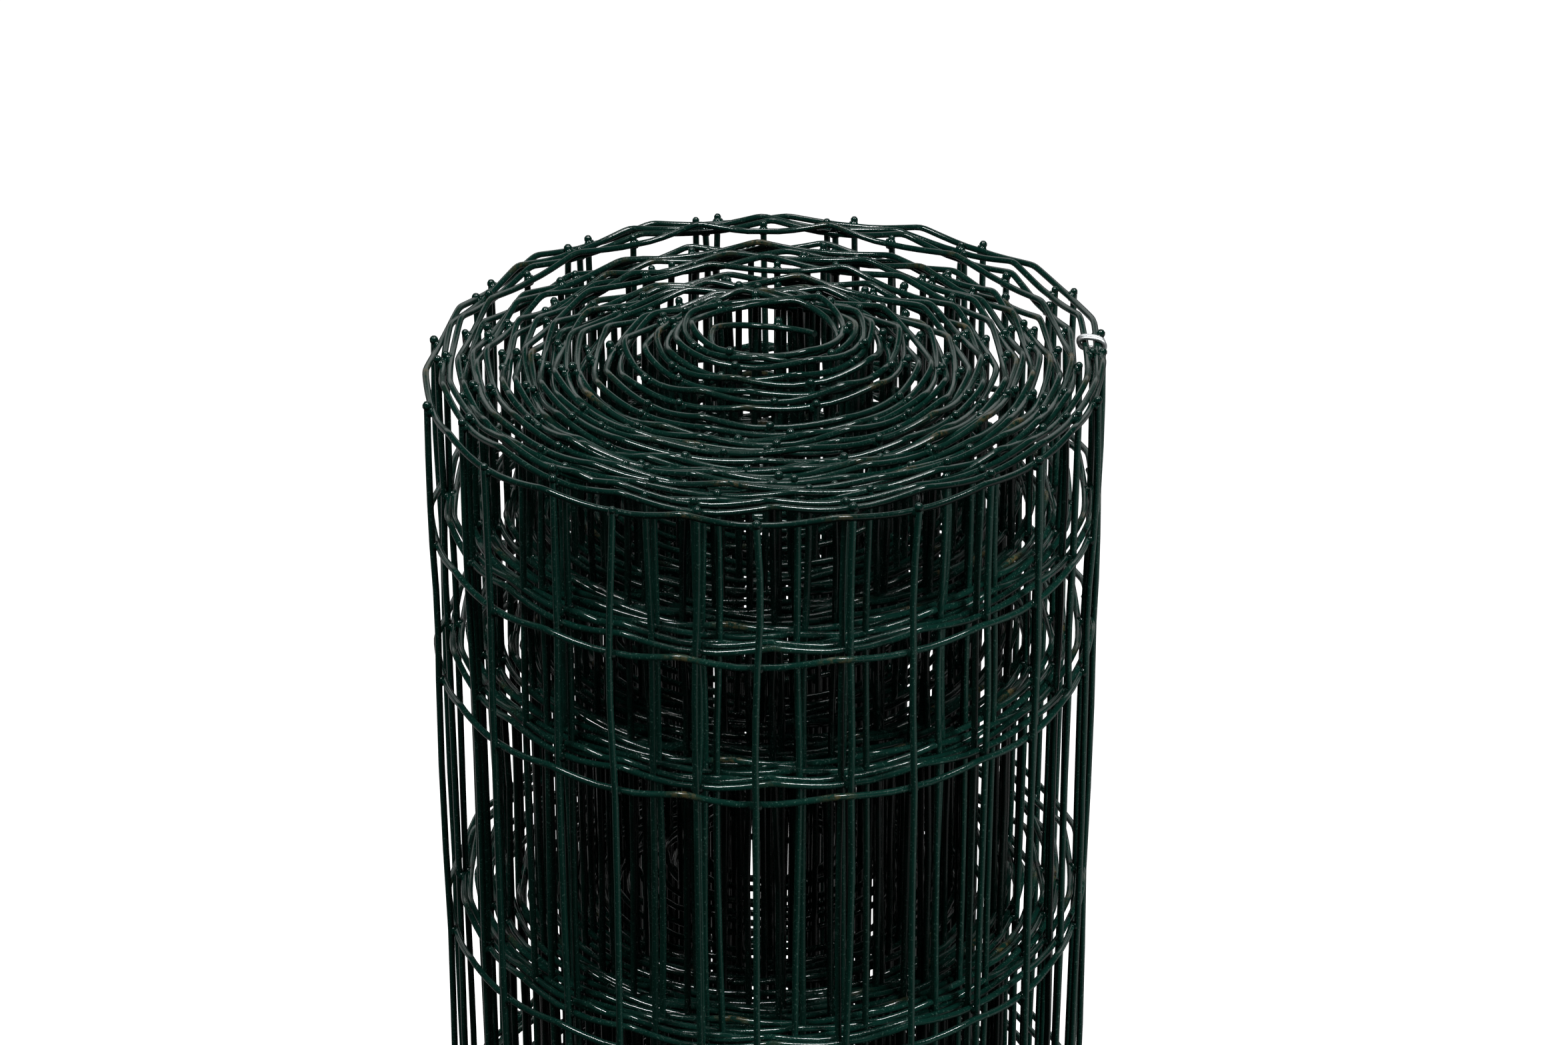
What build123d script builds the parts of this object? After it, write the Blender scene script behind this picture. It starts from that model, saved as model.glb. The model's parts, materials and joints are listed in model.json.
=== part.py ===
from build123d import *
import os

# Standing roll of welded, plastic coated wire fencing, held by one tie wire.
# The outer turn has its real wires. The turns behind it are one turned body,
# and they show as ridges on both ends.
# Millimetres. The origin is the middle of the lower end and +Z runs up the bore.

# Mesh
wire_diameter = 2.2
edge_row_pitch = 50.8
edge_row_count = 2
body_row_pitch = 101.6
body_row_count = 8
cross_wire_count = 15
cross_wire_start_deg = 8.3
stub_length = 2.2
weld_set_share = 0.75
wire_sides = 6
bends_per_cell = 2

# Roll
outer_diameter = 234.0
bore_diameter = 32.0
turn_valley_depth = 3.5
gap_valley_depth = 9.0
gap_floor_share = 0.75
core_lift = 9.5

# Groups of turns that lie close together, from the bore outward. Close turns nest,
# so a ridge stands for two or three of them. The shares are of the distance between
# the first turn and the last one.
group_ridge_count = (4, 3, 3, 1)
group_start_share = (0.0, 0.34, 0.6, 1.0)
group_end_share = (0.26, 0.52, 0.86, 1.0)
group_start_lift_share = (1.0, 0.1, 0.02, 0.0)
group_end_lift_share = (0.2, 0.04, 0.0, 0.0)
foot_land_share = 0.7

# Tie
tie_diameter = 1.8
tie_clearance = 0.3
tie_inside_width = 10.0
tie_leg_length = 6.0
tie_bend_radius = 2.4
tie_direction_deg = 5.5

# Derived sizes
wire_radius = wire_diameter / 2
outer_radius = outer_diameter / 2
bore_radius = bore_diameter / 2
cross_radius = outer_radius - wire_radius
wall_radius = cross_radius - weld_set_share * wire_diameter
first_turn_radius = bore_radius + wire_radius
turn_span = wall_radius - first_turn_radius
edge_height = edge_row_count * edge_row_pitch
body_height = body_row_count * body_row_pitch
mesh_height = 2 * edge_height + body_height
roll_height = mesh_height + 2 * stub_length

# Heights of the line wires, from the lower edge up
row_heights = [stub_length]
row_steps = [edge_row_pitch] * edge_row_count
row_steps += [body_row_pitch] * body_row_count
row_steps += [edge_row_pitch] * edge_row_count
for row_step in row_steps:
    row_heights.append(row_heights[-1] + row_step)

# Radius and lift of every turn. The inner turns stand a little higher than the outer ones.
turn_radii = []
turn_lifts = []
group_ends = []
for group, count in enumerate(group_ridge_count):
    for turn in range(count):
        step_share = turn / max(count - 1, 1)
        start_share = group_start_share[group]
        radius_share = start_share + step_share * (group_end_share[group] - start_share)
        start_lift_share = group_start_lift_share[group]
        lift_share = start_lift_share + step_share * (group_end_lift_share[group] - start_lift_share)
        turn_radii.append(first_turn_radius + radius_share * turn_span)
        turn_lifts.append(lift_share * core_lift)
    group_ends.append(len(turn_radii) - 1)


def end_outline(end_height, outward):
    # Points of one end from the bore to the outer wall: a crest per turn and a valley after it.
    points = [(bore_radius, end_height + turn_lifts[0])]
    land = foot_land_share * wire_radius
    for turn, radius in enumerate(turn_radii[:-1]):
        crest = end_height + turn_lifts[turn]
        next_radius = turn_radii[turn + 1]
        next_crest = end_height + turn_lifts[turn + 1]
        deepest = min(outward * crest, outward * next_crest)
        middle = (radius + next_radius) / 2
        if turn > 0:
            points.append((radius, crest))
        if turn in group_ends:
            floor = outward * (deepest - gap_valley_depth)
            half_floor = gap_floor_share * (next_radius - radius) / 2
            points.append((middle - half_floor, floor))
            points.append((middle + half_floor, floor))
        else:
            points.append((middle, outward * (deepest - turn_valley_depth)))
    points.append((wall_radius - 2 * land, end_height))
    points.append((wall_radius, end_height))
    return points


# Outline of the turned body: top end and lower end
outline = end_outline(roll_height, 1) + end_outline(0, -1)[::-1]

with BuildPart() as mesh_roll:
    with BuildSketch(Plane.XZ):
        with BuildLine():
            Polyline(*outline, close=True)
        make_face()
    revolve(axis=Axis.Z)

    # Line wires of the outer turn, each a polygon bent at every weld and every crimp
    row_planes = [Plane.XY.offset(row_height - wire_radius) for row_height in row_heights]
    with BuildSketch(*row_planes):
        RegularPolygon(wall_radius + wire_radius, bends_per_cell * cross_wire_count,
                       rotation=cross_wire_start_deg)
        Circle(wall_radius - wire_radius, mode=Mode.SUBTRACT)
    extrude(amount=wire_diameter)

    # Cross wires of the outer turn, welded on the outside of the line wires
    with BuildSketch(Plane.XY):
        with PolarLocations(cross_radius, cross_wire_count, start_angle=cross_wire_start_deg):
            RegularPolygon(wire_radius, wire_sides, rotation=180 / wire_sides)
    extrude(amount=roll_height)
mesh_roll.part.label = "mesh_roll"

# Tie wire, a staple over the outermost turn with its inner leg in the gap behind it
tie_radius = tie_diameter / 2
tie_outer_reach = wall_radius + wire_radius + tie_clearance + tie_radius
tie_inner_reach = tie_outer_reach - tie_inside_width - tie_diameter
tie_crown_height = roll_height + tie_clearance + tie_radius
tie_foot_height = tie_crown_height - tie_radius - tie_leg_length
tie_plane = Plane.XZ.rotated((0, 0, tie_direction_deg))

with BuildPart() as tie_wire:
    with BuildLine(tie_plane) as tie_path:
        FilletPolyline((tie_inner_reach, tie_foot_height),
                       (tie_inner_reach, tie_crown_height),
                       (tie_outer_reach, tie_crown_height),
                       (tie_outer_reach, tie_foot_height),
                       radius=tie_bend_radius)
    with BuildSketch(Plane(origin=tie_path.line @ 0, z_dir=tie_path.line % 0)):
        RegularPolygon(tie_radius, wire_sides)
    sweep()
tie_wire.part.label = "tie_wire"

os.makedirs("parts", exist_ok=True)
export_step(mesh_roll.part, "parts/mesh_roll.step")
export_step(tie_wire.part, "parts/tie_wire.step")
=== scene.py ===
import json
import math

import bpy
import numpy as np
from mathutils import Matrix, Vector

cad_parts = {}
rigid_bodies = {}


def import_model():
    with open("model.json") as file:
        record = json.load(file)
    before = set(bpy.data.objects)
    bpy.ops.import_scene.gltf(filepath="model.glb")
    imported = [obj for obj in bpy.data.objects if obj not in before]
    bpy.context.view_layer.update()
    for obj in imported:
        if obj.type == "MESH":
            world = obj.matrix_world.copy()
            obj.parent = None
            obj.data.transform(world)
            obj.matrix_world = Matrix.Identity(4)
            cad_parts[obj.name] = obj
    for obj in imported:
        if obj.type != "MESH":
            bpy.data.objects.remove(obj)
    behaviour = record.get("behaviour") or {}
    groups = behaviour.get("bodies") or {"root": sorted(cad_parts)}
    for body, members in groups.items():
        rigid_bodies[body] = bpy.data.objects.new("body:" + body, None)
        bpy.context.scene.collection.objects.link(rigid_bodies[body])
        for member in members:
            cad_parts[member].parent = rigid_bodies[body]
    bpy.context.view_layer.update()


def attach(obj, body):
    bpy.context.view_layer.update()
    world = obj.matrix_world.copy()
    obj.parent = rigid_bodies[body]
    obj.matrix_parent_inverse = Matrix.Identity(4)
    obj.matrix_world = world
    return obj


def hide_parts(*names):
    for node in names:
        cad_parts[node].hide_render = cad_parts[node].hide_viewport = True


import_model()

mm = 0.001  # sizes below are in millimetres


def srgb(hexCode):
    values = [int(hexCode[i:i + 2], 16) / 255 for i in (1, 3, 5)]
    return tuple(v / 12.92 if v <= 0.04045 else ((v + 0.055) / 1.055) ** 2.4 for v in values) + (1.0,)


def addNode(tree, kind, settings=None, links=None):
    # links holds plain values or output sockets, by input name or number
    node = tree.nodes.new(kind)
    for key, value in (settings or {}).items():
        setattr(node, key, value)
    for key, value in (links or {}).items():
        if isinstance(value, bpy.types.NodeSocket):
            tree.links.new(value, node.inputs[key])
        else:
            node.inputs[key].default_value = value
    return node


def newMaterial(name):
    material = bpy.data.materials.new(name)
    material.use_nodes = True
    material.node_tree.nodes.clear()
    return material, material.node_tree


plasticCoat = {
    "deepGreen": "#041b16", "paleGreen": "#0a2c25", "speck": "#3d5850", "rubBrown": "#4f4326",
    "blotchSize": 9.0, "grainSize": 0.55, "speckSize": 0.8, "rubSize": 2.2,
    "roughness": (0.06, 0.18), "rubRoughness": 0.3, "speckShare": 0.5,
    "grainDepth": 0.08, "grainStrength": 0.2,
}


def plasticCoatMaterial():
    # PVC melted on to steel wire as powder: deep moss green, glossy, with a fine orange peel
    # that breaks the highlights up, small paler specks of random tone, and brown rubs where the crimps touch
    sizes = plasticCoat
    material, tree = newMaterial("pvcPowderCoatGreen")
    place = addNode(tree, "ShaderNodeTexCoord").outputs["Object"]
    blotch = addNode(tree, "ShaderNodeTexNoise", {}, {
        "Vector": place, "Scale": 1 / (sizes["blotchSize"] * mm), "Detail": 3.0, "Roughness": 0.6})
    green = addNode(tree, "ShaderNodeMix", {"data_type": "RGBA"}, {
        0: blotch.outputs["Fac"], 6: srgb(sizes["deepGreen"]), 7: srgb(sizes["paleGreen"])})
    speckNoise = addNode(tree, "ShaderNodeTexNoise", {}, {
        "Vector": place, "Scale": 1 / (sizes["speckSize"] * mm), "Detail": 1.0})
    speckMask = addNode(tree, "ShaderNodeMapRange", {}, {
        "Value": speckNoise.outputs["Fac"], "From Min": 0.62, "From Max": 0.74,
        "To Min": 0.0, "To Max": sizes["speckShare"]})
    specked = addNode(tree, "ShaderNodeMix", {"data_type": "RGBA"}, {
        0: speckMask.outputs[0], 6: green.outputs[2], 7: srgb(sizes["speck"])})
    rub = addNode(tree, "ShaderNodeAttribute", {"attribute_name": "rub"})
    rubNoise = addNode(tree, "ShaderNodeTexNoise", {}, {
        "Vector": place, "Scale": 1 / (sizes["rubSize"] * mm), "Detail": 3.0, "Roughness": 0.7})
    rubBroken = addNode(tree, "ShaderNodeMapRange", {}, {
        "Value": rubNoise.outputs["Fac"], "From Min": 0.42, "From Max": 0.62})
    rubMask = addNode(tree, "ShaderNodeMath", {"operation": "MULTIPLY"}, {
        0: rub.outputs["Fac"], 1: rubBroken.outputs[0]})
    coloured = addNode(tree, "ShaderNodeMix", {"data_type": "RGBA"}, {
        0: rubMask.outputs[0], 6: specked.outputs[2], 7: srgb(sizes["rubBrown"])})
    rough = addNode(tree, "ShaderNodeMapRange", {}, {
        "Value": blotch.outputs["Fac"], "From Min": 0.3, "From Max": 0.7,
        "To Min": sizes["roughness"][0], "To Max": sizes["roughness"][1]})
    roughRub = addNode(tree, "ShaderNodeMath", {"operation": "MULTIPLY_ADD", "use_clamp": True}, {
        0: rubMask.outputs[0], 1: sizes["rubRoughness"], 2: rough.outputs[0]})
    grain = addNode(tree, "ShaderNodeTexNoise", {}, {
        "Vector": place, "Scale": 1 / (sizes["grainSize"] * mm), "Detail": 2.0})
    peel = addNode(tree, "ShaderNodeBump", {}, {
        "Height": grain.outputs["Fac"], "Strength": sizes["grainStrength"],
        "Distance": sizes["grainDepth"] * mm})
    surface = addNode(tree, "ShaderNodeBsdfPrincipled", {}, {
        "Base Color": coloured.outputs[2], "Roughness": roughRub.outputs[0], "IOR": 1.5,
        "Normal": peel.outputs[0]})
    addNode(tree, "ShaderNodeOutputMaterial", {}, {"Surface": surface.outputs[0]})
    return material


zincCoat = {
    "bright": "#eef0f0", "dull": "#c8cdd0", "spangleSize": 1.6, "roughness": (0.39, 0.57),
    "drawLine": 0.35, "lineDepth": 0.03, "lineStrength": 0.3,
}


def zincCoatMaterial():
    # zinc coated soft tie wire, drawn and hot dipped: pale bright metal with cloudy spangle
    sizes = zincCoat
    material, tree = newMaterial("zincCoatedTieWire")
    place = addNode(tree, "ShaderNodeTexCoord").outputs["Object"]
    cloud = addNode(tree, "ShaderNodeTexNoise", {}, {
        "Vector": place, "Scale": 1 / (sizes["spangleSize"] * mm), "Detail": 3.0})
    tone = addNode(tree, "ShaderNodeMix", {"data_type": "RGBA"}, {
        0: cloud.outputs["Fac"], 6: srgb(sizes["bright"]), 7: srgb(sizes["dull"])})
    rough = addNode(tree, "ShaderNodeMapRange", {}, {
        "Value": cloud.outputs["Fac"], "From Min": 0.3, "From Max": 0.7,
        "To Min": sizes["roughness"][0], "To Max": sizes["roughness"][1]})
    lines = addNode(tree, "ShaderNodeTexNoise", {}, {
        "Vector": place, "Scale": 1 / (sizes["drawLine"] * mm)})
    bump = addNode(tree, "ShaderNodeBump", {}, {
        "Height": lines.outputs["Fac"], "Strength": sizes["lineStrength"],
        "Distance": sizes["lineDepth"] * mm})
    surface = addNode(tree, "ShaderNodeBsdfPrincipled", {}, {
        "Base Color": tone.outputs[2], "Metallic": 1.0, "Roughness": rough.outputs[0],
        "Normal": bump.outputs[0]})
    addNode(tree, "ShaderNodeOutputMaterial", {}, {"Surface": surface.outputs[0]})
    return material


greenCoat = plasticCoatMaterial()
zincWire = zincCoatMaterial()
print("materials made")

# the winding: one length of mesh, from the loose outer end in to the bore
meshStock = {
    "wireDiameter": 2.2, "stub": 2.2, "seat": 1.85, "tail": 2.4,
    "rowSteps": [50.8] * 2 + [101.6] * 8 + [50.8] * 2,
    # spacing of the cross wires: at the loose end, in the outer turns, and further in
    "endCell": 50.5, "endCells": 3, "cell": 49.3, "outerCells": 30, "innerCell": 48.47,
    "crimpRise": 2.8, "crimpRiseSpread": 0.35, "crimpReach": 0.38, "crimpSharp": 1.3, "crimpRound": 4.0,
    # share of the bend that sits in the crimps, by radius, and the share of its depth put outward
    "bendShare": ((22, 0.1), (45, 0.4), (90, 0.65), (112, 0.45)), "bendOut": 0.45, "bendRound": 8.0,
    # how far the welds lie off their places
    "weldShift": 0.6, "innerWeldShift": 1.3, "jogAlong": 0.55, "jogOut": 0.3, "jogUp": 0.3,
    # brown rubs, strong at only a few crimps
    "rubRarity": 8, "rubFrom": 0.72, "rubReach": 0.28,
    "stepLength": 0.5, "seed": 100, "innerSeed": 197,
}
winding = {
    "turns": 30, "endAngle": 10.1, "angleStep": 0.1, "leastRadius": 17.3,
    # radius of the line wire by turns counted in from the outside, in four directions
    "right": ((0, 113), (1, 110.6), (2, 109), (3, 104), (19, 55.5), (20, 50.5), (22, 45.5), (23, 42.5),
              (28, 27.3), (29, 24.9)),
    "front": ((0, 117), (1, 107), (13, 79), (14, 72.5), (20, 54), (21, 39.5), (28, 21), (29, 17.5)),
    "left": ((0, 112.5), (1, 108.5), (19, 58.5), (20, 53), (22, 45.5), (23, 39), (27, 26.5), (28, 24),
             (29, 17.5)),
    "back": ((0, 117), (1, 113.5), (2, 110), (3, 107), (4, 91.5), (11, 74), (12, 64), (20, 46.5), (21, 42),
             (28, 23), (29, 17.4)),
    # the innermost turn goes on past the back, and stops short of the right
    "innerEnd": 19.0, "innerShort": 35.0, "outerEnd": 114.0, "tailRadius": 111.0,
    # the outermost turns are traced by angle, because they make the outline
    "outermost": ((20, 114), (8, 112.8), (-15, 111.8), (-40, 115.2), (-65, 117), (-90, 117), (-115, 118.5),
                  (-138, 118.5), (-163, 115), (-187, 110.8), (-205, 111), (-235, 115), (-260, 116.5),
                  (-285, 116.5), (-310, 117.3), (-335, 118.3), (-352, 112.8), (-365, 111), (-390, 110.6),
                  (-420, 109), (-450, 107), (-540, 108.5), (-600, 112), (-630, 113.5), (-660, 113.8),
                  (-690, 113), (-712, 109.8), (-725, 108.2), (-745, 105.2), (-780, 104.6), (-810, 104.6)),
    "traceRound": 15.0, "traceBlend": 40.0,
    # how far the inner turns have slid up
    "lift": ((0, 0), (19, 0.2), (20.5, 0.6), (21.5, 2.4), (27.5, 10.5), (28.9, 10.5), (29.3, 9.6),
             (29.75, 5.5)),
    # slow drift up and down, calm in the outermost turn and fairly calm in the next three
    "wander": 1.0, "wanderLength": 105.0, "wanderLimit": 2.2, "standOff": 1.6,
    "calmKeys": ((0, 7, 0.2), (7, 27, 0.6)),
    # slow drift in and out, from the turn where the tracing ends
    "sway": 0.6, "swayAngle": 50.0, "swayLimit": 1.5, "swayFrom": 2.1,
}
rng = np.random.default_rng(meshStock["seed"])


def smoothThrough(values, place):
    # smooth curve through evenly spaced values
    padded = np.concatenate(([2 * values[0] - values[1]], values, [2 * values[-1] - values[-2]]))
    step = np.clip(np.floor(place).astype(int), 0, len(values) - 2)
    f = place - step
    a, b, c, d = (padded[step + k] for k in range(4))
    return 0.5 * (2 * b + (c - a) * f + (2 * a - 5 * b + 4 * c - d) * f ** 2
                  + (3 * b - a - 3 * c + d) * f ** 3)


def boxSmooth(values, width):
    edge = width // 2
    padded = np.concatenate((np.full(edge, values[0]), values, np.full(width - 1 - edge, values[-1])))
    return np.convolve(padded, np.ones(width) / width, mode="valid")


turns = winding["turns"]
sides = ("back", "left", "front", "right")
radiusAt = {side: np.interp(np.arange(turns), *zip(*winding[side])) for side in sides}
radiusKeys = [winding["innerEnd"]]
for turn in range(turns - 1, -1, -1):
    radiusKeys += [radiusAt[side][turn] for side in sides]
radiusKeys = np.array(radiusKeys + [winding["outerEnd"]])
firstAngle = -360.0 * turns
endAngle = winding["endAngle"] + math.degrees(meshStock["tail"] / winding["tailRadius"])

angles = np.arange(endAngle, firstAngle + winding["innerShort"], -winding["angleStep"])
radii = smoothThrough(radiusKeys, (angles - firstAngle) / 90.0)
tracedAngle, tracedRadius = zip(*winding["outermost"][::-1])
traced = boxSmooth(np.interp(angles, tracedAngle, tracedRadius),
                   round(winding["traceRound"] / winding["angleStep"]))
tracedShare = np.clip((angles - tracedAngle[0]) / winding["traceBlend"], 0, 1)
radii = radii + tracedShare * (traced - radii)
swayKeys = rng.normal(0, winding["sway"], int(-firstAngle / winding["swayAngle"]) + 4)
swayKeys = np.clip(swayKeys, -winding["swayLimit"], winding["swayLimit"])
sway = smoothThrough(swayKeys, (angles - firstAngle) / winding["swayAngle"])
sway = sway * np.clip(-angles / 360.0 - winding["swayFrom"], 0, 1)
radii = np.maximum(radii + sway, winding["leastRadius"])
spiral = np.stack((radii * np.cos(np.radians(angles)), radii * np.sin(np.radians(angles))), axis=1)
travel = np.concatenate(([0.0], np.cumsum(np.linalg.norm(np.diff(spiral, axis=0), axis=1))))

stepLength = meshStock["stepLength"]
along = np.arange(0.0, travel[-1], stepLength)
angleAlong = np.interp(along, travel, angles)
radiusAlong = np.interp(along, travel, radii)
plan = np.stack([np.interp(along, travel, spiral[:, k]) for k in (0, 1)], axis=1)
outward = np.stack((np.cos(np.radians(angleAlong)), np.sin(np.radians(angleAlong))), axis=1)

cell = meshStock["cell"]
outerCells = meshStock["outerCells"]
cellCount = int(along[-1] / cell) + 8
cellSteps = np.where(np.arange(cellCount) < outerCells, cell, meshStock["innerCell"])
cellSteps[:meshStock["endCells"]] = meshStock["endCell"]
weldAt = meshStock["tail"] + np.concatenate(([0.0], np.cumsum(cellSteps)))
weldAt = weldAt[weldAt < along[-1] - meshStock["tail"]]
weldCount = len(weldAt)
crimpAt = np.concatenate(([0.0], (weldAt[:-1] + weldAt[1:]) / 2, [along[-1]]))

# the bend of the mesh is mostly in its crimps, so each turn is a soft polygon
bendRound = int(meshStock["bendRound"] / stepLength)
polygon = np.stack([boxSmooth(np.interp(along, crimpAt, np.interp(crimpAt, along, plan[:, k])), bendRound)
                    for k in (0, 1)], axis=1)
bendShare = np.interp(radiusAlong, *zip(*meshStock["bendShare"]))
sagitta = cell ** 2 / (8 * radiusAlong)
plan = (plan + bendShare[:, None] * (polygon - plan)
        + (meshStock["bendOut"] * bendShare * sagitta)[:, None] * outward)

# each cell is level near its welds, and rises over its crimp
cellRise = meshStock["crimpRise"] * (1 + meshStock["crimpRiseSpread"] * rng.uniform(-1, 1, weldCount + 1))
weldPhase = np.interp(along, np.concatenate((weldAt, weldAt[-1:] + cell)), np.arange(weldCount + 1))
cellIndex = np.floor(weldPhase).astype(int)
crimpNear = 1 - np.abs(2 * (weldPhase - cellIndex) - 1)
hump = np.clip(1 - (1 - crimpNear) / (2 * meshStock["crimpReach"]), 0, 1)
riseAlong = boxSmooth(hump ** meshStock["crimpSharp"] * cellRise[cellIndex],
                      int(meshStock["crimpRound"] / stepLength))

wanderKeys = rng.normal(0, winding["wander"], int(along[-1] / winding["wanderLength"]) + 3)
wanderKeys = np.clip(wanderKeys, -winding["wanderLimit"], winding["wanderLimit"])
for start, stop, share in winding["calmKeys"]:
    wanderKeys[start:stop] *= share
wanderAlong = smoothThrough(wanderKeys, along / winding["wanderLength"])
shiftAlong = np.maximum(wanderAlong + winding["standOff"], 0)
shiftAlong += np.interp(-angleAlong / 360.0, *zip(*winding["lift"]))

rowHeights = np.concatenate(([0.0], np.cumsum(meshStock["rowSteps"]))) + meshStock["stub"]
rowCount = len(rowHeights)

# every weld sits a little off its place, more so further in
weldShift = rng.normal(0, meshStock["weldShift"], weldCount)
innerRng = np.random.default_rng(meshStock["innerSeed"])
weldShift[outerCells:] = innerRng.normal(0, meshStock["innerWeldShift"], weldCount - outerCells)
weldJog = {
    "along": rng.normal(0, meshStock["jogAlong"], (rowCount, weldCount)) + weldShift,
    "out": rng.normal(0, meshStock["jogOut"], (rowCount, weldCount)),
    "up": rng.normal(0, meshStock["jogUp"], (rowCount, weldCount)),
}
rubAt = rng.uniform(0, 1, weldCount + 1) ** meshStock["rubRarity"]
rubAlong = rubAt[cellIndex] * np.clip((crimpNear - meshStock["rubFrom"]) / meshStock["rubReach"], 0, 1)

tangent = np.gradient(plan, axis=0)
tangent /= np.linalg.norm(tangent, axis=1)[:, None]
normal = np.stack((-tangent[:, 1], tangent[:, 0]), axis=1)
normal *= np.sign(np.sum(normal * outward, axis=1))[:, None]


def pick(values, places):
    if values.ndim == 1:
        return np.interp(places, along, values)
    return np.stack([np.interp(places, along, values[:, k]) for k in range(values.shape[1])], axis=1)


def lineWirePoints(row, places):
    jog = {key: np.interp(places, weldAt, weldJog[key][row]) for key in weldJog}
    flat = (pick(plan, places) + pick(tangent, places) * jog["along"][:, None]
            + pick(normal, places) * jog["out"][:, None])
    height = rowHeights[row] + pick(riseAlong, places) + pick(shiftAlong, places) + jog["up"]
    return np.column_stack((flat, height))


print("winding", round(along[-1] / 1000, 2), "m", weldCount, "cross wires")


def newTree(name, inputs, output):
    tree = bpy.data.node_groups.new(name, "GeometryNodeTree")
    for label, kind in inputs.items():
        tree.interface.new_socket(label, in_out="INPUT", socket_type=kind)
    tree.interface.new_socket(output, in_out="OUTPUT", socket_type="NodeSocketGeometry")
    return tree, addNode(tree, "NodeGroupInput").outputs


def wireSweepTree():
    tree, given = newTree("wireSweep", {
        "Path": "NodeSocketGeometry", "Diameter": "NodeSocketFloat", "Sides": "NodeSocketInt",
        "Finish": "NodeSocketMaterial"}, "Wire")
    radius = addNode(tree, "ShaderNodeMath", {"operation": "MULTIPLY"}, {0: given["Diameter"], 1: 0.5})
    curve = addNode(tree, "GeometryNodeMeshToCurve", {}, {"Mesh": given["Path"]})
    ring = addNode(tree, "GeometryNodeCurvePrimitiveCircle", {}, {
        "Resolution": given["Sides"], "Radius": radius.outputs[0]})
    tube = addNode(tree, "GeometryNodeCurveToMesh", {}, {
        "Curve": curve.outputs[0], "Profile Curve": ring.outputs[0], "Fill Caps": True})
    smooth = addNode(tree, "GeometryNodeSetShadeSmooth", {}, {"Geometry": tube.outputs[0]})
    plain = addNode(tree, "GeometryNodeRealizeInstances", {}, {"Geometry": smooth.outputs[0]})
    finish = addNode(tree, "GeometryNodeSetMaterial", {}, {
        "Geometry": plain.outputs[0], "Material": given["Finish"]})
    addNode(tree, "NodeGroupOutput", {}, {"Wire": finish.outputs[0]})
    return tree


def coatBeadTree():
    tree, given = newTree("coatBeads", {
        "Places": "NodeSocketGeometry", "Bead size": "NodeSocketVector", "Spread": "NodeSocketFloat",
        "Segments": "NodeSocketInt", "Rings": "NodeSocketInt", "Seed": "NodeSocketInt",
        "Finish": "NodeSocketMaterial"}, "Beads")
    bead = addNode(tree, "GeometryNodeMeshUVSphere", {}, {
        "Segments": given["Segments"], "Rings": given["Rings"], "Radius": 0.5})
    lengthways = addNode(tree, "GeometryNodeInputNamedAttribute", {"data_type": "FLOAT_VECTOR"},
                         {"Name": "lengthways"})
    facing = addNode(tree, "GeometryNodeInputNamedAttribute", {"data_type": "FLOAT_VECTOR"},
                     {"Name": "facing"})
    turned = addNode(tree, "FunctionNodeAxesToRotation", {"primary_axis": "X", "secondary_axis": "Y"},
                     {0: lengthways.outputs[0], 1: facing.outputs[0]})
    least = addNode(tree, "ShaderNodeMath", {"operation": "SUBTRACT"}, {0: 1.0, 1: given["Spread"]})
    most = addNode(tree, "ShaderNodeMath", {"operation": "ADD"}, {0: 1.0, 1: given["Spread"]})
    chance = addNode(tree, "FunctionNodeRandomValue", {"data_type": "FLOAT"}, {
        2: least.outputs[0], 3: most.outputs[0], "Seed": given["Seed"]})
    size = addNode(tree, "ShaderNodeVectorMath", {"operation": "SCALE"}, {
        0: given["Bead size"], "Scale": chance.outputs[1]})
    beads = addNode(tree, "GeometryNodeInstanceOnPoints", {}, {
        "Points": given["Places"], "Instance": bead.outputs[0], "Rotation": turned.outputs[0],
        "Scale": size.outputs[0]})
    plain = addNode(tree, "GeometryNodeRealizeInstances", {}, {"Geometry": beads.outputs[0]})
    smooth = addNode(tree, "GeometryNodeSetShadeSmooth", {}, {"Geometry": plain.outputs[0]})
    finish = addNode(tree, "GeometryNodeSetMaterial", {}, {
        "Geometry": smooth.outputs[0], "Material": given["Finish"]})
    addNode(tree, "NodeGroupOutput", {}, {"Beads": finish.outputs[0]})
    return tree


wireSweep = wireSweepTree()
coatBeads = coatBeadTree()


def grow(name, tree, source, values, node):
    # runs a tree on a source mesh, and keeps the result as a plain mesh piece
    piece = bpy.data.objects.new(name, source)
    bpy.context.scene.collection.objects.link(piece)
    modifier = piece.modifiers.new(tree.name, "NODES")
    modifier.node_group = tree
    for item in tree.interface.items_tree:
        if item.in_out == "INPUT" and item.name in values:
            modifier[item.identifier] = values[item.name]
    depsgraph = bpy.context.evaluated_depsgraph_get()
    made = bpy.data.meshes.new_from_object(piece.evaluated_get(depsgraph), preserve_all_data_layers=True,
                                           depsgraph=depsgraph)
    made.name = name
    piece.modifiers.remove(modifier)
    piece.data = made
    bpy.data.meshes.remove(source)
    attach(piece, "root")
    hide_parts(node)
    print(name, sum(len(face.vertices) - 2 for face in made.polygons), "triangles")


def pathMesh(paths, rubs=None):
    # several open paths in one mesh of edges, with how rubbed the coating is along them
    mesh = bpy.data.meshes.new("path")
    points = np.concatenate(paths)
    stops = set(np.cumsum([len(path) for path in paths])[:-1] - 1)
    edges = [(i, i + 1) for i in range(len(points) - 1) if i not in stops]
    mesh.from_pydata((points * mm).tolist(), edges, [])
    layer = mesh.attributes.new("rub", "FLOAT", "POINT")
    flat = np.concatenate(rubs) if rubs is not None else np.zeros(len(points))
    layer.data.foreach_set("value", flat.astype(np.float32))
    return mesh


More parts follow.
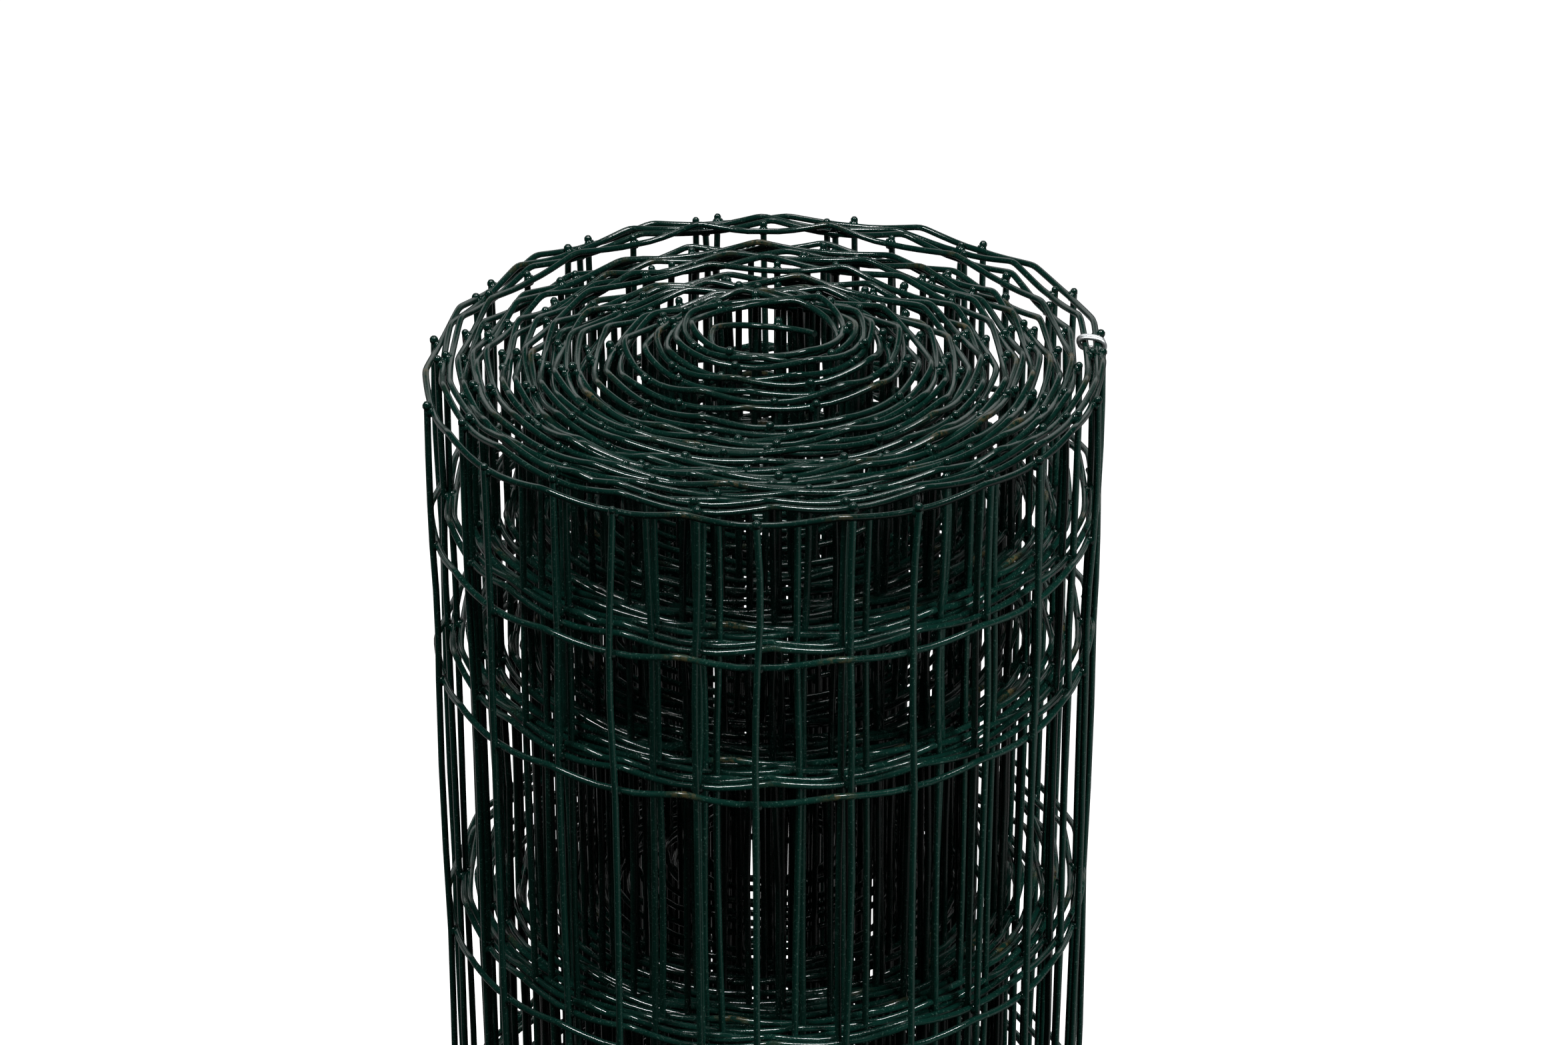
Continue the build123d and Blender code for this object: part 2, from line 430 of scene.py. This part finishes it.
def spotMesh(points, lengthways, facing):
    mesh = bpy.data.meshes.new("spots")
    mesh.from_pydata((points * mm).tolist(), [], [])
    for label, values in (("lengthways", lengthways), ("facing", facing)):
        layer = mesh.attributes.new(label, "FLOAT_VECTOR", "POINT")
        layer.data.foreach_set("vector", values.astype(np.float32).ravel())
    return mesh


def meshWirePiece(name, source, wireSides):
    # a tube of few sides is made a little wider, so that it looks as thick as a round wire
    half = math.pi / wireSides
    width = meshStock["wireDiameter"] * mm * half / math.sin(half)
    grow(name, wireSweep, source, {"Diameter": width, "Sides": wireSides, "Finish": greenCoat},
         "mesh_roll")


lineWire = {
    # samples in a cell, as shares of it from its weld, closest together at the crimp
    "fine": (0, 0.116, 0.224, 0.313, 0.378, 0.425, 0.465, 0.5, 0.535, 0.575, 0.622, 0.687, 0.776, 0.884),
    "medium": (0, 0.138, 0.266, 0.364, 0.437, 0.5, 0.563, 0.636, 0.734, 0.862),
    "coarse": (0, 0.197, 0.364, 0.453, 0.547, 0.636, 0.803),
    "outerTurns": 7.1, "lastGap": 1.0,
}
outerAngle = 360 * lineWire["outerTurns"] - winding["endAngle"]
outerLength = float(np.interp(outerAngle, -angleAlong, along))
outerWelds = int(np.searchsorted(weldAt, outerLength))
splitAt = float(weldAt[outerWelds])


def lineWirePiece(name, rows, detail, wireSides, start=0.0, stop=along[-1]):
    cellLengths = np.append(np.diff(weldAt), cell)
    places = (weldAt[:, None] + cellLengths[:, None] * np.array(lineWire[detail])).ravel()
    places = places[places < along[-1] - lineWire["lastGap"]]
    places = np.concatenate(([start], places[(places > start) & (places < stop)], [stop]))
    paths = [lineWirePoints(row, places) for row in rows]
    rubs = [pick(rubAlong, places) for row in rows]
    meshWirePiece(name, pathMesh(paths, rubs), wireSides)


last = rowCount - 1
footRows, bodyRows, upperRows = [0, 1, 2], list(range(3, last - 2)), [last - 2, last - 1]
lineWirePiece("line_wires_top", [last], "fine", 8)
lineWirePiece("line_wires_upper_outer", upperRows, "medium", 8, 0.0, splitAt)
lineWirePiece("line_wires_upper_inner", upperRows, "medium", 8, splitAt)
lineWirePiece("line_wires_foot", footRows, "coarse", 6)
lineWirePiece("line_wires_body_outer", bodyRows, "medium", 8, 0.0, splitAt)
lineWirePiece("line_wires_body_inner", bodyRows, "coarse", 6, splitAt)

crossWire = {"bow": 0.4, "stubSpread": 0.35, "floorRoom": 1.1}
upright = np.array([0, 0, 1])
weldPoints = np.stack([lineWirePoints(row, weldAt) for row in range(rowCount)])
weldNormal = np.column_stack((pick(normal, weldAt), np.zeros(weldCount)))
weldTangent = np.column_stack((pick(tangent, weldAt), np.zeros(weldCount)))
crossCentres = weldPoints + meshStock["seat"] * weldNormal[None]
stubTop = meshStock["stub"] + crossWire["stubSpread"] * rng.uniform(-1, 1, weldCount)
stubFoot = np.minimum(meshStock["stub"], crossCentres[0, :, 2] - crossWire["floorRoom"])


def crossWirePath(index, inSpan):
    centres = crossCentres[:, index]
    places = np.concatenate([np.arange(row, row + 1, 1 / inSpan) for row in range(last)] + [[float(last)]])
    path = np.stack([smoothThrough(centres[:, k], places) for k in (0, 1)], axis=1)
    bow = rng.normal(0, crossWire["bow"], (last, 2))
    span = np.clip(np.floor(places).astype(int), 0, last - 1)
    path += bow[span] * np.sin(np.pi * (places - span))[:, None] ** 2
    height = np.interp(places, np.arange(rowCount), centres[:, 2])
    middle = np.column_stack((path, height))
    return np.vstack((middle[0] - stubFoot[index] * upright, middle, middle[-1] + stubTop[index] * upright))


def crossWirePiece(name, indices, inSpan, wireSides):
    meshWirePiece(name, pathMesh([crossWirePath(i, inSpan) for i in indices]), wireSides)


crossWirePiece("cross_wires_outer", range(outerWelds), 3, 8)
crossWirePiece("cross_wires_inner", range(outerWelds, weldCount), 2, 6)

# coating drops on the cut stubs, and coating run together at the welds
stubDrop = {"size": (2.9, 2.9, 3.1), "spread": 0.12, "segments": 8, "rings": 5, "seed": 3, "sink": 0.7}
weldCoat = {"size": (4.3, 3.3, 4.1), "spread": 0.12, "segments": 8, "rings": 4, "seed": 5, "sag": 0.25,
            "seatShare": 0.5, "floorRoom": 2.4}


def coatBeadPiece(name, bead, points, lengthways, facing):
    grow(name, coatBeads, spotMesh(points, lengthways, facing),
         {"Bead size": [v * mm for v in bead["size"]], "Spread": bead["spread"], "Seed": bead["seed"],
          "Segments": bead["segments"], "Rings": bead["rings"], "Finish": greenCoat},
         "mesh_roll")


tips = np.concatenate((crossCentres[-1] + np.outer(stubTop, upright),
                       crossCentres[0] - np.outer(stubFoot, upright)))
tips[:weldCount, 2] -= stubDrop["sink"]
tips[weldCount:, 2] += stubDrop["sink"]
coatBeadPiece("stub_drops", stubDrop, tips, np.tile(weldTangent, (2, 1)), np.tile(weldNormal, (2, 1)))

# only the welds that can be seen
seen = [(row, i) for row in range(rowCount) for i in range(weldCount)
        if row in (0, last - 2, last - 1, last) or i < outerWelds]
seenRow, seenWeld = np.array(seen).T
joints = weldPoints[seenRow, seenWeld] + weldCoat["seatShare"] * meshStock["seat"] * weldNormal[seenWeld]
joints[:, 2] = np.maximum(joints[:, 2] - weldCoat["sag"], weldCoat["floorRoom"])
coatBeadPiece("weld_coats", weldCoat, joints, weldTangent[seenWeld], weldNormal[seenWeld])

# tie wire wrapped twice round the outermost turns
tieWire = {
    "diameter": 1.5, "angle": 7.5, "turnsHeld": 3, "gap": 0.15, "wraps": 2.15, "startAngle": -25.0,
    "pitch": 1.7, "skew": 0.4, "squareness": 0.8, "samples": 72, "sides": 10,
}


def squared(wave):
    # makes the round loop a little square
    return np.sign(wave) * np.abs(wave) ** tieWire["squareness"]


tieAngle = math.radians(tieWire["angle"])
heldPlaces = [np.interp(360 * k - tieWire["angle"], -angleAlong, along) for k in range(tieWire["turnsHeld"])]
held = lineWirePoints(last, np.array(heldPlaces))
tieOut = np.array([math.cos(tieAngle), math.sin(tieAngle), 0.0])
tieAlong = np.array([-tieOut[1], tieOut[0], 0.0])
reach, level = held @ tieOut, held[:, 2]
clear = meshStock["wireDiameter"] / 2 + tieWire["diameter"] / 2 + tieWire["gap"]
halfWide = (reach.max() - reach.min()) / 2 + clear
halfHigh = (level.max() - level.min()) / 2 + clear
loopMiddle = tieOut * (reach.max() + reach.min()) / 2 + upright * (level.max() + level.min()) / 2
loopStart = math.radians(tieWire["startAngle"])
loopTurn = np.linspace(loopStart, loopStart + tieWire["wraps"] * 2 * math.pi, tieWire["samples"])
loopAcross = squared(np.cos(loopTurn)) * halfWide
loopUp = squared(np.sin(loopTurn)) * halfHigh
loopSlant = np.linspace(-0.5, 0.5, len(loopTurn)) * tieWire["wraps"] * tieWire["pitch"]
loopSlant -= tieWire["skew"] * loopAcross
loopPath = (loopMiddle + np.outer(loopAcross, tieOut) + np.outer(loopUp, upright)
            + np.outer(loopSlant, tieAlong))
grow("tie_wire_loop", wireSweep, pathMesh([loopPath]),
     {"Diameter": tieWire["diameter"] * mm, "Sides": tieWire["sides"], "Finish": zincWire},
     "tie_wire")

studio = {
    "floorRadius": 9000.0, "white": "#ffffff", "floorTint": "#c8c8c8", "nearGlow": 0.62, "farGlow": 1.0,
    "floorBounce": 0.03, "ambient": 0.02,
}


def floorMaterial():
    # matt white card: white to the camera, with the roll's soft shadow on it. Reflections see it
    # pale behind the roll and at its right, and dim in front. It throws little light back up
    material, tree = newMaterial("whiteCard")
    white = srgb(studio["white"])
    softStep = {"interpolation_type": "SMOOTHSTEP"}
    ray = addNode(tree, "ShaderNodeLightPath").outputs
    here = addNode(tree, "ShaderNodeTexCoord").outputs["Object"]
    place = addNode(tree, "ShaderNodeSeparateXYZ", {}, {0: here})
    behind = addNode(tree, "ShaderNodeMapRange", softStep, {
        "Value": place.outputs["Y"], "From Min": 0.1, "From Max": 1.2, "To Min": 0.01, "To Max": 0.25})
    right = addNode(tree, "ShaderNodeMapRange", softStep, {
        "Value": place.outputs["X"], "From Min": 0.5, "From Max": 1.4, "To Min": 0.0, "To Max": 0.28})
    sheen = addNode(tree, "ShaderNodeMath", {"operation": "MAXIMUM"}, {
        0: behind.outputs[0], 1: right.outputs[0]})
    direct = addNode(tree, "ShaderNodeMath", {"operation": "ADD", "use_clamp": True}, {
        0: ray["Is Camera Ray"], 1: ray["Is Transmission Ray"]})
    far = addNode(tree, "ShaderNodeVectorMath", {"operation": "LENGTH"}, {0: here})
    glowHere = addNode(tree, "ShaderNodeMapRange", softStep, {
        "Value": far.outputs["Value"], "From Min": 0.25, "From Max": 1.0,
        "To Min": studio["nearGlow"], "To Max": studio["farGlow"]})
    strength = addNode(tree, "ShaderNodeMath", {"operation": "MULTIPLY"}, {
        0: direct.outputs[0], 1: glowHere.outputs[0]})
    card = addNode(tree, "ShaderNodeBsdfDiffuse", {}, {"Color": srgb(studio["floorTint"])})
    glow = addNode(tree, "ShaderNodeEmission", {}, {"Color": white, "Strength": strength.outputs[0]})
    lit = addNode(tree, "ShaderNodeAddShader", {}, {0: card.outputs[0], 1: glow.outputs[0]})
    mirrored = addNode(tree, "ShaderNodeEmission", {}, {"Color": white, "Strength": sheen.outputs[0]})
    dim = addNode(tree, "ShaderNodeEmission", {}, {"Color": white, "Strength": studio["floorBounce"]})
    bounced = addNode(tree, "ShaderNodeMixShader", {}, {
        0: ray["Is Diffuse Ray"], 1: lit.outputs[0], 2: dim.outputs[0]})
    mixed = addNode(tree, "ShaderNodeMixShader", {}, {
        0: ray["Is Glossy Ray"], 1: bounced.outputs[0], 2: mirrored.outputs[0]})
    addNode(tree, "ShaderNodeOutputMaterial", {}, {"Surface": mixed.outputs[0]})
    return material


def addFloor():
    ring = np.radians(np.arange(0, 360, 5))
    radius = studio["floorRadius"] * mm
    corners = [(radius * math.cos(a), radius * math.sin(a), 0.0) for a in ring]
    mesh = bpy.data.meshes.new("floor")
    mesh.from_pydata(corners, [], [list(range(len(corners)))])
    mesh.materials.append(floorMaterial())
    floor = bpy.data.objects.new("floor", mesh)
    bpy.context.scene.collection.objects.link(floor)


def addWorld():
    # the camera sees white. Reflections see a white backdrop behind the roll and a dim room in front
    world = bpy.data.worlds.new("paleStudio")
    world.use_nodes = True
    tree = world.node_tree
    tree.nodes.clear()
    white = srgb(studio["white"])
    softStep = {"interpolation_type": "SMOOTHSTEP"}
    ray = addNode(tree, "ShaderNodeLightPath").outputs
    direction = addNode(tree, "ShaderNodeTexCoord").outputs["Generated"]
    split = addNode(tree, "ShaderNodeSeparateXYZ", {}, {0: direction})
    behind = addNode(tree, "ShaderNodeMapRange", softStep, {
        "Value": split.outputs["Y"], "From Min": 0.5, "From Max": 0.8, "To Min": 0.01, "To Max": 0.9})
    below = addNode(tree, "ShaderNodeMapRange", softStep, {
        "Value": split.outputs["Z"], "From Min": 0.5, "From Max": 0.75, "To Min": 1.0, "To Max": 0.02})
    above = addNode(tree, "ShaderNodeMapRange", softStep, {
        "Value": split.outputs["Z"], "From Min": 0.05, "From Max": 0.3, "To Min": 0.1, "To Max": 1.0})
    strip = addNode(tree, "ShaderNodeMath", {"operation": "MULTIPLY"}, {
        0: below.outputs[0], 1: above.outputs[0]})
    backdrop = addNode(tree, "ShaderNodeMath", {"operation": "MULTIPLY"}, {
        0: behind.outputs[0], 1: strip.outputs[0]})
    ambient = addNode(tree, "ShaderNodeBackground", {}, {"Color": white, "Strength": studio["ambient"]})
    mirrored = addNode(tree, "ShaderNodeBackground", {}, {"Color": white, "Strength": backdrop.outputs[0]})
    pale = addNode(tree, "ShaderNodeBackground", {}, {"Color": white, "Strength": 1.0})
    glossy = addNode(tree, "ShaderNodeMixShader", {}, {
        0: ray["Is Glossy Ray"], 1: ambient.outputs[0], 2: mirrored.outputs[0]})
    direct = addNode(tree, "ShaderNodeMath", {"operation": "ADD", "use_clamp": True}, {
        0: ray["Is Camera Ray"], 1: ray["Is Transmission Ray"]})
    shown = addNode(tree, "ShaderNodeMixShader", {}, {
        0: direct.outputs[0], 1: glossy.outputs[0], 2: pale.outputs[0]})
    addNode(tree, "ShaderNodeOutputWorld", {}, {"Surface": shown.outputs[0]})
    bpy.context.scene.world = world


lamps = {
    # place, aim, width and depth of the lamp in mm, watts. The fills light only the outer turns
    # below the top row, and are left out of reflections
    "lampLeft": ((-800, -560, 2900), (0, 0, 950), (520, 200), 28),
    "lampRight": ((800, -560, 2900), (0, 0, 950), (520, 200), 27),
    "lampOver": ((60, 420, 2900), (0, 0, 1000), (420, 420), 8),
    "fillLeft": ((-2300, -500, 1800), (0, 0, 800), (700, 900), 8),
    "fillRight": ((2300, -500, 1800), (0, 0, 800), (700, 900), 8),
    "fillFrontLeft": ((-1300, -1500, 1500), (0, 0, 850), (700, 900), 5),
    "fillFrontRight": ((1700, -1150, 1500), (0, 0, 850), (500, 900), 34),
    "fillBack": ((500, 2300, 1600), (0, 0, 650), (900, 900), 34),
}


def addLamps():
    outerTurns = bpy.data.collections.new("outerTurns")
    for piece in bpy.context.scene.objects:
        if piece.name.endswith("_outer"):
            outerTurns.objects.link(piece)
    for name, (place, aim, size, watts) in lamps.items():
        data = bpy.data.lights.new(name, "AREA")
        data.shape = "RECTANGLE"
        data.size, data.size_y = (v * mm for v in size)
        data.energy = watts
        lamp = bpy.data.objects.new(name, data)
        lamp.location = Vector(place) * mm
        lamp.rotation_euler = (Vector(aim) - Vector(place)).to_track_quat("-Z", "Y").to_euler()
        if name.startswith("fill"):
            lamp.visible_glossy = False
            lamp.light_linking.receiver_collection = outerTurns
        bpy.context.scene.collection.objects.link(lamp)


cameraView = {"place": (6.37, -1289.5, 1643.9), "tilt": 62.03, "lens": 98.19, "sensor": 36.0}


def addCamera():
    data = bpy.data.cameras.new("photoCamera")
    data.sensor_width = cameraView["sensor"]
    data.lens = cameraView["lens"]
    camera = bpy.data.objects.new("photoCamera", data)
    camera.location = [v * mm for v in cameraView["place"]]
    camera.rotation_euler = (math.radians(cameraView["tilt"]), 0.0, 0.0)
    bpy.context.scene.collection.objects.link(camera)
    bpy.context.scene.camera = camera


addFloor()
addWorld()
addLamps()
addCamera()
bpy.context.scene.view_settings.view_transform = "Standard"
print("studio set")
